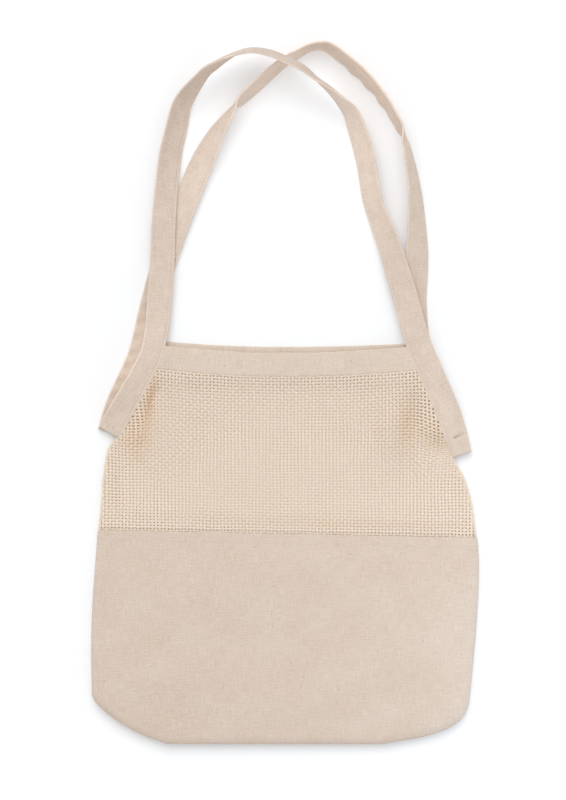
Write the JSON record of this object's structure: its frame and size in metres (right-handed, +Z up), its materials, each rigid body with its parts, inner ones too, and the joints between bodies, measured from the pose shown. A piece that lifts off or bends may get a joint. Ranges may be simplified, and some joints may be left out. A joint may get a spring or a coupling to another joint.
{
  "type": "cotton shoulder bag",
  "caption": "Unbleached cotton shoulder bag lying flat: canvas lower part, fine net upper part, banded mouth and long twisted shoulder straps.",
  "frame": {"origin": "middle of the bag's box on the floor that it lies on", "axes": "+Y from the bag's bottom edge towards its straps, +X to the right of someone looking down on its front, +Z up from the floor"},
  "size_m": [0.3871, 0.7001, 0.0518],
  "materials": {
    "canvas": "unbleached plain-weave cotton canvas with small seed flecks",
    "net": "unbleached cotton net, fine square mesh",
    "band": "doubled unbleached cotton canvas",
    "strap": "folded unbleached cotton canvas, topstitched"
  },
  "bodies": {
    "root": {"canvas_front": "canvas", "canvas_back": "canvas", "net_front": "net", "net_back": "net", "band_front": "band", "band_back": "band", "strap_front": "strap", "strap_back": "strap"}
  },
  "joints": []
}
